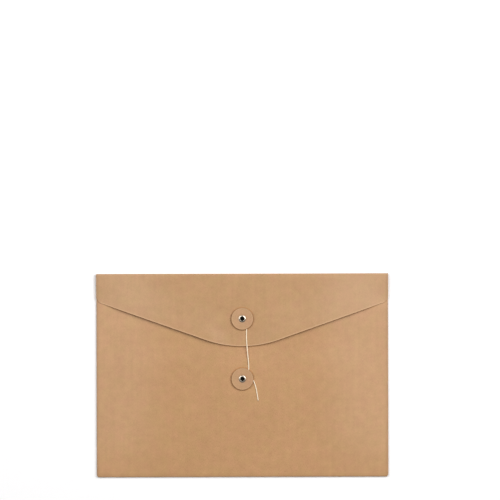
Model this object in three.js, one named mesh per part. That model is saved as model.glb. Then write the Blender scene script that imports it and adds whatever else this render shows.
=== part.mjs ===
import * as THREE from 'three';

// Document wallet folded from one sheet of kraft card, closed by a string
// between two card buttons. It lies flat with its flap side up.
// Millimetres. +X runs across the wallet's width, +Y towards the flap's fold,
// +Z up. The origin is the centre of the footprint, on the wallet's underside.

// ---------------------------------------------------------------- dimensions
const WIDTH = 330;            // folded width, for A4 paper laid crossways
const HEIGHT = 230;           // folded height, bottom crease to top fold
const CARD = 0.5;             // thickness of the card
const POCKET_GAP = 2.0;       // clear gap between back and front panel, empty

const FRONT_Z = CARD + POCKET_GAP;      // underside of the front panel
const FRONT_TOP = FRONT_Z + CARD;
const GLUE = 0.1;                       // dried glue between tab and front panel
const TAB_Z = FRONT_Z - GLUE - CARD;    // underside of a glue tab

const FRONT_INSET = 0.6;      // the front panel is cut this much shy of each side
const MOUTH = 14;             // fold to the front panel's free upper edge
const MOUTH_CORNER = 4;       // radius of that edge's corners

const FLAP_GAP = 0.8;         // flap's underside over the front panel
const FLAP_Z = FRONT_TOP + FLAP_GAP;
const FLAP_TOP = FLAP_Z + CARD;
const FLAP_DEPTH = 82;        // fold to the lowest point of the flap
const FLAP_SIDE = 31.2;       // fold to the corner where the slope begins
const FLAP_SLOPE = 19.4;      // degrees
const SHOULDER_R = 8;         // radius at each shoulder

const TAB_WIDTH = 16;         // glue tab, measured from its crease
const TAB_MOUTH = 20;         // fold to the upper end of the side creases
const TAB_SLANT = 7;          // how much each tab end is cut back

const BUTTON_R = 12.5;        // card disc
const BUTTON_T = 0.8;
const STRING_GAP = 1.2;       // space under a disc, where the string winds
const BUTTON_HOLE_R = 2.7;
const UPPER_BUTTON = 51;      // fold to the centre of the disc on the flap
const LOWER_BUTTON = 119;     // fold to the centre of the disc on the pocket

const EYELET_BORE_R = 2.05;
const EYELET_BARREL_R = 2.4;
const EYELET_FLANGE_R = 3.95;
const EYELET_FLANGE_T = 0.36;
const EYELET_CLEAR = 0.05;    // running clearance between disc and flange
const EYELET_ROLL_R = 3.5;    // spread end on the inner side of the card
const EYELET_ROLL_T = 0.5;
const EYELET_END = 0.25;      // thickness of the end that closes the bore

const STRING_D = 1.1;
const STRING_LAY = 0.05;      // clearance between the string and what it lies on

// ------------------------------------------------------------------ materials
const kraft = new THREE.MeshStandardMaterial({ color: 0xc49a70, roughness: 0.85, metalness: 0 });
const kraftFlap = new THREE.MeshStandardMaterial({ color: 0xc9a177, roughness: 0.85, metalness: 0 });
const kraftButton = new THREE.MeshStandardMaterial({ color: 0xc59b70, roughness: 0.85, metalness: 0 });
const nickel = new THREE.MeshStandardMaterial({ color: 0xd6d7d4, roughness: 0.2, metalness: 1 });
const cotton = new THREE.MeshStandardMaterial({ color: 0xebe6da, roughness: 0.95, metalness: 0 });
const glue = new THREE.MeshStandardMaterial({ color: 0xe6dcc0, roughness: 0.5, metalness: 0 });

// -------------------------------------------------------------------- helpers
// A flat sheet: outline in X and Y, thickness along Z.
function plate(shape, z, thickness, curveSegments = 10) {
  const g = new THREE.ExtrudeGeometry(shape, { depth: thickness, bevelEnabled: false, curveSegments });
  g.translate(0, 0, z);
  return g;
}

function mesh(name, geometry, material) {
  const m = new THREE.Mesh(geometry, material);
  m.name = name;
  return m;
}

// Half a ring in section: the card where it turns through 180 degrees. It
// starts on the lower panel, bulges towards +u and ends on the upper panel.
function foldSection(outer, side = 1, steps = 12) {
  const inner = outer - CARD;
  const pts = [];
  for (let i = 0; i <= steps; i++) {
    const a = -Math.PI / 2 + (Math.PI * i) / steps;
    const c = i === 0 || i === steps ? 0 : Math.cos(a);
    pts.push(new THREE.Vector2(side * outer * c, outer * Math.sin(a)));
  }
  for (let i = steps; i >= 0; i--) {
    const a = -Math.PI / 2 + (Math.PI * i) / steps;
    const c = i === 0 || i === steps ? 0 : Math.cos(a);
    pts.push(new THREE.Vector2(side * inner * c, inner * Math.sin(a)));
  }
  return new THREE.Shape(pts);
}

// Section (u, v) = (Y, Z), drawn out along X from x0 to x1.
function foldAlongX(outer, side, x0, x1) {
  const g = new THREE.ExtrudeGeometry(foldSection(outer, side), { depth: x1 - x0, bevelEnabled: false });
  g.applyMatrix4(new THREE.Matrix4().set(0, 0, 1, x0, 1, 0, 0, 0, 0, 1, 0, 0, 0, 0, 0, 1));
  return g;
}

// Section (u, v) = (X, Z), drawn out along Y from y0 to y1.
function foldAlongY(outer, side, y0, y1) {
  const g = new THREE.ExtrudeGeometry(foldSection(outer, side), { depth: y1 - y0, bevelEnabled: false });
  g.applyMatrix4(new THREE.Matrix4().set(1, 0, 0, 0, 0, 0, -1, y1, 0, 1, 0, 0, 0, 0, 0, 1));
  return g;
}

function polygon(points) {
  return new THREE.Shape(points.map(([x, y]) => new THREE.Vector2(x, y)));
}

function circleHole(x, y, r, segments = 40) {
  const p = new THREE.Path();
  const pts = [];
  for (let i = 0; i < segments; i++) {
    const a = (-2 * Math.PI * i) / segments;
    pts.push(new THREE.Vector2(x + r * Math.cos(a), y + r * Math.sin(a)));
  }
  p.setFromPoints(pts);
  return p;
}

// ---------------------------------------------------------------- fold centres
const TOP_Y = HEIGHT / 2;
const topOuter = FLAP_TOP / 2;
const HINGE_Y = TOP_Y - topOuter;       // flap hinge axis, along X
const HINGE_Z = topOuter;
const bottomOuter = FRONT_TOP / 2;
const BOTTOM_Y = -HEIGHT / 2 + bottomOuter;
const sideOuter = (TAB_Z + CARD) / 2;
const SIDE_X = WIDTH / 2 - sideOuter;
const MOUTH_Y = TOP_Y - MOUTH;
const TAB_TOP_Y = TOP_Y - TAB_MOUTH;
const UPPER_Y = TOP_Y - UPPER_BUTTON;
const LOWER_Y = TOP_Y - LOWER_BUTTON;

// ------------------------------------------------------------------ the pocket
const pocket = new THREE.Group();

// Back panel: full width above the side creases, in between them below.
const SHY = 0.3;
pocket.add(mesh('back_panel', plate(polygon([
  [-SIDE_X, BOTTOM_Y], [SIDE_X, BOTTOM_Y],
  [SIDE_X, TAB_TOP_Y + SHY], [WIDTH / 2, TAB_TOP_Y + SHY + 1.2],
  [WIDTH / 2, HINGE_Y], [-WIDTH / 2, HINGE_Y],
  [-WIDTH / 2, TAB_TOP_Y + SHY + 1.2], [-SIDE_X, TAB_TOP_Y + SHY],
]), 0, CARD), kraft));

// Front panel, with the lower eyelet's hole and rounded corners at the mouth.
{
  const hx = WIDTH / 2 - FRONT_INSET;
  const s = new THREE.Shape();
  s.moveTo(-hx, BOTTOM_Y);
  s.lineTo(hx, BOTTOM_Y);
  s.lineTo(hx, MOUTH_Y - MOUTH_CORNER);
  s.absarc(hx - MOUTH_CORNER, MOUTH_Y - MOUTH_CORNER, MOUTH_CORNER, 0, Math.PI / 2, false);
  s.lineTo(-hx + MOUTH_CORNER, MOUTH_Y);
  s.absarc(-hx + MOUTH_CORNER, MOUTH_Y - MOUTH_CORNER, MOUTH_CORNER, Math.PI / 2, Math.PI, false);
  s.closePath();
  s.holes.push(circleHole(0, LOWER_Y, BUTTON_HOLE_R));
  pocket.add(mesh('front_panel', plate(s, FRONT_Z, CARD, 6), kraft));
}

// Creases. The bottom one joins the two panels; the side ones turn the tabs in.
{
  const b = mesh('bottom_fold', foldAlongX(bottomOuter, -1, -SIDE_X, SIDE_X), kraft);
  b.position.set(0, BOTTOM_Y, bottomOuter);
  pocket.add(b);
  const y0 = BOTTOM_Y + SHY;
  const l = mesh('left_side_fold', foldAlongY(sideOuter, -1, y0, TAB_TOP_Y), kraft);
  l.position.set(-SIDE_X, 0, sideOuter);
  pocket.add(l);
  const r = mesh('right_side_fold', foldAlongY(sideOuter, 1, y0, TAB_TOP_Y), kraft);
  r.position.set(SIDE_X, 0, sideOuter);
  pocket.add(r);
  const t = mesh('top_fold', foldAlongX(topOuter, 1, -WIDTH / 2, WIDTH / 2), kraft);
  t.position.set(0, HINGE_Y, HINGE_Z);
  pocket.add(t);
}

// Glue tabs, folded in under the front panel, and the glue on them.
{
  const y0 = BOTTOM_Y + SHY;
  const y1 = TAB_TOP_Y;
  const inner = SIDE_X - TAB_WIDTH;
  pocket.add(mesh('left_glue_tab', plate(polygon([
    [-SIDE_X, y0], [-inner, y0 + TAB_SLANT], [-inner, y1 - TAB_SLANT], [-SIDE_X, y1],
  ]), TAB_Z, CARD), kraft));
  pocket.add(mesh('right_glue_tab', plate(polygon([
    [SIDE_X, y1], [inner, y1 - TAB_SLANT], [inner, y0 + TAB_SLANT], [SIDE_X, y0],
  ]), TAB_Z, CARD), kraft));
  const gx0 = inner + 3;
  const gx1 = SIDE_X - 2;
  const gy0 = y0 + TAB_SLANT + 1;
  const gy1 = y1 - TAB_SLANT - 1;
  pocket.add(mesh('left_glue_line', plate(polygon([[-gx1, gy0], [-gx0, gy0], [-gx0, gy1], [-gx1, gy1]]), FRONT_Z - GLUE, GLUE), glue));
  pocket.add(mesh('right_glue_line', plate(polygon([[gx0, gy0], [gx1, gy0], [gx1, gy1], [gx0, gy1]]), FRONT_Z - GLUE, GLUE), glue));
}

// -------------------------------------------------------------------- the flap
// Its group stands on the hinge axis, so that turning the group opens it.
const flap = new THREE.Group();
flap.position.set(0, HINGE_Y, HINGE_Z);
{
  const slope = THREE.MathUtils.degToRad(FLAP_SLOPE);
  const hx = WIDTH / 2;
  const sideY = TOP_Y - FLAP_SIDE;                        // corner, before rounding
  const tipY = TOP_Y - FLAP_DEPTH;
  const apexY = sideY - hx * Math.tan(slope);             // where the slopes would meet
  const tipR = (tipY - apexY) / (1 / Math.cos(slope) - 1); // arc that touches both slopes
  // Each shoulder's arc touches the side edge and the slope.
  const turn = Math.PI / 2 - slope;
  const sy = sideY + SHOULDER_R * Math.tan(turn / 2);
  const s = new THREE.Shape();
  s.moveTo(-hx, HINGE_Y);
  s.lineTo(-hx, sy);
  s.absarc(-hx + SHOULDER_R, sy, SHOULDER_R, Math.PI, Math.PI + turn, false);
  s.absarc(0, tipY + tipR, tipR, -Math.PI / 2 - slope, -Math.PI / 2 + slope, false);
  s.absarc(hx - SHOULDER_R, sy, SHOULDER_R, -turn, 0, false);
  s.lineTo(hx, HINGE_Y);
  s.closePath();
  s.holes.push(circleHole(0, UPPER_Y, BUTTON_HOLE_R));
  const g = plate(s, FLAP_Z, CARD, 14);
  g.translate(0, -HINGE_Y, -HINGE_Z);
  flap.add(mesh('flap_panel', g, kraftFlap));
}

// --------------------------------------------------- buttons and their eyelets
// Each disc turns round its eyelet, above a gap for the string.
function button(name) {
  const s = new THREE.Shape();
  s.absarc(0, 0, BUTTON_R, 0, 2 * Math.PI, false);
  s.holes.push(circleHole(0, 0, BUTTON_HOLE_R));
  return mesh(name, plate(s, STRING_GAP, BUTTON_T, 36), kraftButton);
}

// Eyelet seen from the card's face at z = 0: flange over the disc, barrel
// through disc, gap and card, and the end spread under the card. The bore is
// blind: the barrel is drawn from sheet, and its end is closed.
function eyelet(name) {
  const seat = STRING_GAP + BUTTON_T + EYELET_CLEAR;
  const top = seat + EYELET_FLANGE_T;
  const under = -CARD - EYELET_CLEAR;
  const low = under - EYELET_ROLL_T;
  const p = [];
  const add = (r, z) => p.push(new THREE.Vector2(r, z));
  // floor of the bore, and the bore upwards
  const floor = low + 0.1 + EYELET_END;
  add(0, floor);
  add(EYELET_BORE_R - 0.25, floor);
  add(EYELET_BORE_R, floor + 0.25);
  add(EYELET_BORE_R, top - 0.2);
  // flange, rounded over the top and down to its rim
  const mid = (EYELET_BORE_R + EYELET_FLANGE_R) / 2;
  const half = (EYELET_FLANGE_R - EYELET_BORE_R) / 2;
  for (let i = 1; i < 8; i++) {
    const a = Math.PI - (Math.PI * i) / 8;
    add(mid + half * Math.cos(a), top - 0.2 + 0.2 * Math.sin(a));
  }
  add(EYELET_FLANGE_R, top - 0.22);
  add(EYELET_FLANGE_R, seat + 0.06);
  add(EYELET_FLANGE_R - 0.08, seat);
  // barrel
  add(EYELET_BARREL_R, seat);
  add(EYELET_BARREL_R, under);
  // spread end
  add(EYELET_ROLL_R - 0.1, under);
  const rollMid = (EYELET_BORE_R + EYELET_ROLL_R) / 2;
  const rollHalf = (EYELET_ROLL_R - EYELET_BORE_R) / 2;
  for (let i = 0; i < 7; i++) {
    const a = -(Math.PI * i) / 8;
    add(rollMid + rollHalf * Math.cos(a), low + 0.25 + 0.25 * Math.sin(a));
  }
  // closed end of the barrel
  add(EYELET_BORE_R - 0.15, low + 0.1);
  add(0, low + 0.1);
  p.reverse();
  const g = new THREE.LatheGeometry(p, 32);
  g.rotateX(Math.PI / 2);
  return mesh(name, g, nickel);
}

const upperButton = new THREE.Group();
upperButton.position.set(0, UPPER_Y - HINGE_Y, FLAP_TOP - HINGE_Z);
upperButton.add(button('upper_button'));
flap.add(upperButton);
const upperEyelet = eyelet('upper_eyelet');
upperEyelet.position.copy(upperButton.position);
flap.add(upperEyelet);

const lowerButton = new THREE.Group();
lowerButton.position.set(0, LOWER_Y, FRONT_TOP);
lowerButton.add(button('lower_button'));
pocket.add(lowerButton);
const lowerEyelet = eyelet('lower_eyelet');
lowerEyelet.position.copy(lowerButton.position);
pocket.add(lowerEyelet);

// ------------------------------------------------------------------ the string
// Looped round the upper eyelet under its disc, over the flap's edge, down at a
// slant to the lower eyelet, round it under its disc, and out to a free end.
const HIGH = FLAP_TOP + STRING_LAY + STRING_D / 2;
const LOW = FRONT_TOP + STRING_LAY + STRING_D / 2;
const LOOP_R = EYELET_BARREL_R + STRING_D / 2 + 0.65;
const route = [];
for (let i = 0; i <= 10; i++) {
  const a = THREE.MathUtils.degToRad(-105 - (255 * i) / 10);
  route.push([LOOP_R * Math.cos(a), UPPER_Y + LOOP_R * Math.sin(a), HIGH]);
}
route.push(
  [4.1, 60.6, HIGH], [4.6, 56.6, HIGH], [4.85, 52.2, HIGH], [4.8, 47.4, HIGH + 0.05], [4.8, 42.0, HIGH + 0.18],
  [5.0, 37.4, HIGH + 0.31], [5.2, 34.2, HIGH + 0.36], [5.4, 31.6, HIGH + 0.30], [5.65, 28.6, HIGH + 0.08],
  [5.95, 25.6, LOW + 1.14], [6.25, 22.4, LOW + 0.90], [6.65, 18.4, LOW + 0.60], [7.0, 14.2, LOW + 0.30],
  [7.2, 10.0, LOW + 0.03], [7.1, 6.5, LOW], [6.1, 3.4, LOW], [4.3, 1.2, LOW], [2.2, -0.1, LOW],
);
for (let i = 0; i <= 7; i++) {
  const a = THREE.MathUtils.degToRad(84 + (186 * i) / 7);
  route.push([LOOP_R * Math.cos(a), LOWER_Y + LOOP_R * Math.sin(a), LOW]);
}
route.push(
  [2.7, -7.35, LOW], [5.3, -6.4, LOW], [7.8, -5.1, LOW], [10.2, -4.4, LOW], [12.0, -5.3, LOW],
  [13.3, -7.8, LOW], [14.6, -11.5, LOW], [15.65, -15.6, LOW], [16.4, -19.9, LOW],
  [17.1, -24.0, LOW], [17.7, -27.9, LOW],
);
const stringPath = new THREE.CatmullRomCurve3(route.map(([x, y, z]) => new THREE.Vector3(x, y, z)), false, 'centripetal');
{
  const s = new THREE.Shape();
  const sides = 8;
  for (let i = 0; i < sides; i++) {
    const a = (2 * Math.PI * i) / sides;
    const x = (STRING_D / 2) * Math.cos(a);
    const y = (STRING_D / 2) * Math.sin(a);
    if (i === 0) s.moveTo(x, y); else s.lineTo(x, y);
  }
  s.closePath();
  const steps = 72;
  pocket.userData.stringLength = stringPath.getLength();
  const g = new THREE.ExtrudeGeometry(s, { steps, bevelEnabled: false, extrudePath: stringPath });
  const m = mesh('closing_string', g, cotton);
  flap.add(m);
  m.position.set(0, -HINGE_Y, -HINGE_Z);
}

// ----------------------------------------------------------------- the wallet
const wallet = new THREE.Group();
wallet.add(pocket, flap);

export default wallet;
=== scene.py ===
import math

import bpy
import numpy as np
from mathutils import Matrix, Vector
from mathutils.geometry import delaunay_2d_cdt


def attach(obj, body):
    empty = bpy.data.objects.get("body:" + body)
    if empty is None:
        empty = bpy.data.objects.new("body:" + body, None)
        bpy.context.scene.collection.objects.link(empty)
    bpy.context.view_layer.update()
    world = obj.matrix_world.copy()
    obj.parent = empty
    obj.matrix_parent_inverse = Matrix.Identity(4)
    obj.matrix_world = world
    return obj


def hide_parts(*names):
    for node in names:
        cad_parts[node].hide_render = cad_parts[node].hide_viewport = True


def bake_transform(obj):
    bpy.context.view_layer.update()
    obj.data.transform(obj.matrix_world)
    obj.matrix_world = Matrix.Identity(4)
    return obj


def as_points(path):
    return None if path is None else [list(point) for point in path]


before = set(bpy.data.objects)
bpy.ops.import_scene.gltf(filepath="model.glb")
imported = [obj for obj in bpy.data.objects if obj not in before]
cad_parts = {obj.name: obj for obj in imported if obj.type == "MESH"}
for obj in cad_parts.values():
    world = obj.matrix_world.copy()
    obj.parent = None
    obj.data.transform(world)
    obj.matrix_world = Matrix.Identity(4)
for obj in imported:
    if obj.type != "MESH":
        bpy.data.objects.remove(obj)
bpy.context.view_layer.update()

# Document wallet folded from one sheet of kraft card, closed by a string wound
# between two card buttons. Lengths in the code are millimetres, as in the CAD
# model, and turn into metres where a mesh is made.
MM = 0.001

WIDTH, HEIGHT, CARD = 330.0, 230.0, 0.5
TOP_OUTER, BOTTOM_OUTER, SIDE_OUTER = 2.15, 1.5, 1.2
HINGE_Y, HINGE_Z = 112.85, 2.15
BOTTOM_Y = -113.5
SIDE_X = 163.8
FRONT_X = 164.4
FRONT_TOP = 3.0
MOUTH_Y, MOUTH_CORNER = 101.0, 4.0
TAB_WIDTH, TAB_SLANT, TAB_LOW, TAB_HIGH = 16.0, 7.0, -113.2, 95.0
FLAP_TOP, FLAP_MID = 4.3, 4.05
FLAP_DEPTH, FLAP_SIDE, FLAP_SLOPE, SHOULDER_R = 82.0, 31.2, 19.4, 8.0
UPPER_Y, LOWER_Y = 64.0, -4.0
BUTTON_R, BUTTON_T, BUTTON_HOLE, STRING_GAP = 12.5, 0.8, 2.7, 1.2
BORE_R, BARREL_R, FLANGE_R, FLANGE_T, CLEAR = 2.05, 2.4, 3.95, 0.36, 0.05
ROLL_R, ROLL_T, END_T = 3.5, 0.5, 0.25
STRING_D = 1.1

scene = bpy.context.scene


# ------------------------------------------------------------------- camera
# Straight down on the open desk, with the wallet low and a little to the left
# in the picture, and turned by a sixth of a degree.
camera_data = bpy.data.cameras.new("camera")
camera = bpy.data.objects.new("camera", camera_data)
scene.collection.objects.link(camera)
camera_data.sensor_width = 36.0
camera_data.lens = 100.0
camera_data.clip_start, camera_data.clip_end = 0.05, 50.0
camera.location = (0.00902, 0.14167, 0.0035 + 0.565 / 2 / (18.0 / 100.0))
camera.rotation_euler = (0.0, 0.0, math.radians(-0.17))
scene.camera = camera


# ------------------------------------------------------------ small mesh tools
def smooth01(t):
    t = np.clip(t, 0.0, 1.0)
    return t * t * (3.0 - 2.0 * t)


def new_mesh(name, verts_mm, faces, slots=None, uv=None, points=None, sharp=55.0):
    """A mesh object from millimetres. slots: one material number a face; uv: {map: one pair a face corner}; points: {attribute: one number a vertex}."""
    me = bpy.data.meshes.new(name)
    me.from_pydata([tuple(p) for p in np.asarray(verts_mm) * MM], [], faces)
    for key, pairs in (uv or {}).items():
        layer = me.uv_layers.new(name=key)
        layer.data.foreach_set("uv", np.asarray(pairs, np.float32).ravel())
    for key, numbers in (points or {}).items():
        a = me.attributes.new(key, "FLOAT", "POINT")
        a.data.foreach_set("value", np.asarray(numbers, np.float32))
    if slots is not None:
        me.polygons.foreach_set("material_index", np.asarray(slots, np.int32))
    me.polygons.foreach_set("use_smooth", np.ones(len(me.polygons), bool))
    me.update()
    me.validate()
    me.set_sharp_from_angle(angle=math.radians(sharp))
    ob = bpy.data.objects.new(name, me)
    scene.collection.objects.link(ob)
    return ob


def line(a, b, step):
    """Points from a up to, but not with, b."""
    a, b = np.array(a, float), np.array(b, float)
    n = max(1, int(math.ceil(np.linalg.norm(b - a) / step - 1e-6)))
    return [tuple(a + (b - a) * i / n) for i in range(n)]


def arc(cx, cy, r, a0, a1, n):
    return [
        (cx + r * math.cos(a0 + (a1 - a0) * i / n), cy + r * math.sin(a0 + (a1 - a0) * i / n))
        for i in range(n)
    ]


def off_segments(points, a, b):
    """Distance of each point to the nearest of the segments a to b."""
    points = np.asarray(points, float)
    best = np.full(len(points), 1e9)
    d = b - a
    length = np.maximum((d * d).sum(1), 1e-12)
    for i in range(0, len(points), 2000):
        p = points[i : i + 2000, None, :]
        t = np.clip(((p - a[None]) * d[None]).sum(2) / length[None], 0, 1)
        q = a[None] + t[..., None] * d[None]
        best[i : i + 2000] = np.sqrt(((p - q) ** 2).sum(2)).min(1)
    return best


def inside(points, loops):
    """Even-odd test of points against closed loops."""
    points = np.asarray(points, float)
    x, y = points[:, 0], points[:, 1]
    found = np.zeros(len(points), bool)
    for loop in loops:
        l = np.asarray(loop, float)
        m = np.roll(l, -1, 0)
        for (x0, y0), (x1, y1) in zip(l, m):
            if y0 == y1:
                continue
            hit = ((y0 > y) != (y1 > y)) & (x < (x1 - x0) * (y - y0) / (y1 - y0) + x0)
            found ^= hit
    return found


def card(name, loops, interior, rails, place, blank, joint, groove=None, rings=(0.22, 0.5, 0.9, 1.4), keen=None):
    """A sheet of card, as one closed mesh, from its flat outline.
    loops: the outline and the holes, outline anticlockwise, holes clockwise. interior: points inside. rails: rows of points that stay joined in order, for the rows along a bend.
    place(u, v, w): where a point of the flat sheet goes, w millimetres out of its middle. blank(u, v): its place on the whole flat blank. joint(u, v): true where the sheet goes on in the next piece, so that there is no cut edge. keen(u, v): how much of the knife's burr stands there."""
    loops = [np.asarray(l, float) for l in loops]
    starts, ends, cut = [], [], []
    for l in loops:
        m = np.roll(l, -1, 0)
        starts.append(l)
        ends.append(m)
        cut.append(~(joint(l[:, 0], l[:, 1]) & joint(m[:, 0], m[:, 1])))
    starts, ends, cut = np.vstack(starts), np.vstack(ends), np.concatenate(cut)
    # points inset from the cut edges
    inset = []
    for l in loops:
        before, after = np.roll(l, 1, 0), np.roll(l, -1, 0)
        t0, t1 = l - before, after - l
        t0 /= np.linalg.norm(t0, axis=1)[:, None]
        t1 /= np.linalg.norm(t1, axis=1)[:, None]
        n = np.stack([-(t0 + t1)[:, 1], (t0 + t1)[:, 0]], 1)
        n /= np.maximum(np.linalg.norm(n, axis=1), 1e-9)[:, None]
        keep = ~joint(l[:, 0], l[:, 1])
        for r in rings:
            q = (l + n * r)[keep]
            inset.append((q, np.full(len(q), r)))
    q = np.vstack([a for a, _ in inset])
    r = np.concatenate([b for _, b in inset])
    near = off_segments(q, starts, ends)
    q = q[inside(q, loops) & (near > r * 0.93)]
    inner = np.asarray(interior, float).reshape(-1, 2)
    rail = [np.asarray(x, float) for x in rails]
    fixed = np.vstack(rail) if rail else np.zeros((0, 2))
    if len(inner):
        inner = inner[inside(inner, loops) & (off_segments(inner, starts, ends) > 2.3)]
    if len(fixed) and len(q):
        far = np.array([np.abs(fixed - p).max(1).min() for p in q])
        q = q[far > 0.16]
    coords, index, edges = [], {}, []

    def put(p):
        key = (round(float(p[0]), 4), round(float(p[1]), 4))
        if key not in index:
            index[key] = len(coords)
            coords.append(Vector((float(p[0]), float(p[1]))))
        return index[key]

    for l in loops:
        ids = [put(p) for p in l]
        edges += [(ids[i], ids[(i + 1) % len(ids)]) for i in range(len(ids))]
    for x in rail:
        ids = [put(p) for p in x]
        edges += [(a, b) for a, b in zip(ids, ids[1:]) if a != b]
    for p in q:
        put(p)
    for p in inner:
        put(p)
    verts, _, faces, _, _, _ = delaunay_2d_cdt(coords, edges, [], 0, 1e-5)
    flat = np.array([tuple(p) for p in verts])
    tri = np.array([list(f) for f in faces])
    centre = flat[tri].mean(1)
    tri = tri[inside(centre, loops)]
    a, b, c = flat[tri[:, 0]], flat[tri[:, 1]], flat[tri[:, 2]]
    area = (b[:, 0] - a[:, 0]) * (c[:, 1] - a[:, 1]) - (b[:, 1] - a[:, 1]) * (c[:, 0] - a[:, 0])
    tri[area < 0] = tri[area < 0][:, ::-1]
    tri = tri[np.abs(area) > 1e-7]
    used = np.unique(tri)
    remap = -np.ones(len(flat), int)
    remap[used] = np.arange(len(used))
    flat, tri = flat[used], remap[tri]
    n = len(flat)
    # boundary, with the sheet on the left of each edge
    seen = {}
    for f in tri:
        for i in range(3):
            seen[(f[i], f[(i + 1) % 3])] = True
    rim = [(x, y) for (x, y) in seen if (y, x) not in seen]
    out = np.zeros((n, 2))
    for x, y in rim:
        d = flat[y] - flat[x]
        d = d / max(np.linalg.norm(d), 1e-9)
        out[x] += (d[1], -d[0])
        out[y] += (d[1], -d[0])
    onrim = np.zeros(n, bool)
    onrim[[x for x, _ in rim]] = True
    out[onrim] /= np.maximum(np.linalg.norm(out[onrim], axis=1), 1e-9)[:, None]
    free = onrim & ~joint(flat[:, 0], flat[:, 1])
    edge = off_segments(flat, starts[cut], ends[cut]) if cut.any() else np.full(n, 99.0)
    half = CARD / 2
    # the knife leaves a low burr on the outer face, and eases the other
    burr = 0.065 * smooth01((1.5 - edge) / 0.95) * smooth01(edge / 0.3)
    if keen is not None:
        burr = burr * keen(flat[:, 0], flat[:, 1])
    ease = np.where(free, 0.07, 0.0)
    face_w = half + burr - ease
    back_w = -(half - 0.015 * smooth01((1.0 - edge) / 0.8) - ease)
    if groove is not None:
        face_w = face_w - groove(flat[:, 0], flat[:, 1])
    pulled = flat - out * np.where(free, 0.06, 0.0)[:, None]
    top = place(pulled[:, 0], pulled[:, 1], face_w)
    low = place(pulled[:, 0], pulled[:, 1], back_w)
    rim_ids = np.flatnonzero(onrim)
    mid_of = -np.ones(n, int)
    mid_of[rim_ids] = np.arange(len(rim_ids))
    mid = place(flat[rim_ids, 0], flat[rim_ids, 1], np.zeros(len(rim_ids)))
    verts3 = np.vstack([top, low, mid])
    where = blank(flat[:, 0], flat[:, 1])
    faces3, slots, uvs = [], [], []

    def corner(i, shift=0.0):
        return (where[i, 0] * MM + shift, where[i, 1] * MM)

    for f in tri:
        faces3.append((f[0], f[1], f[2]))
        slots.append(0)
        uvs += [corner(i) for i in f]
        faces3.append((f[2] + n, f[1] + n, f[0] + n))
        slots.append(1)
        uvs += [corner(i, 0.7) for i in (f[2], f[1], f[0])]
    for x, y in rim:
        mx, my = 2 * n + mid_of[x], 2 * n + mid_of[y]
        slot = 0 if joint(flat[x : x + 1, 0], flat[x : x + 1, 1])[0] and joint(flat[y : y + 1, 0], flat[y : y + 1, 1])[0] else 2
        # seen from outside the sheet the face layer is above
        faces3.append((y, x, mx, my))
        faces3.append((my, mx, x + n, y + n))
        slots += [slot, slot]
        uvs += [corner(y), corner(x), corner(x), corner(y)]
        uvs += [corner(y), corner(x), corner(x), corner(y)]
    level = np.concatenate([np.ones(n), -np.ones(n), np.zeros(len(rim_ids))])
    edge3 = np.concatenate([edge, edge, edge[rim_ids]])
    ob = new_mesh(
        name,
        verts3,
        [tuple(int(i) for i in f) for f in faces3],
        slots,
        {"Blank": uvs},
        {"edge": np.minimum(edge3, 20.0), "ply": level},
    )
    # where the blank is laid in place as its own mirror image, its faces come out turned inwards
    fans = np.array([(f[0], f[i], f[i + 1]) for f in faces3 for i in range(1, len(f) - 1)], int)
    a, b, c = verts3[fans[:, 0]], verts3[fans[:, 1]], verts3[fans[:, 2]]
    if (a * np.cross(b, c)).sum() < 0:
        ob.data.flip_normals()
    return ob


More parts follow.
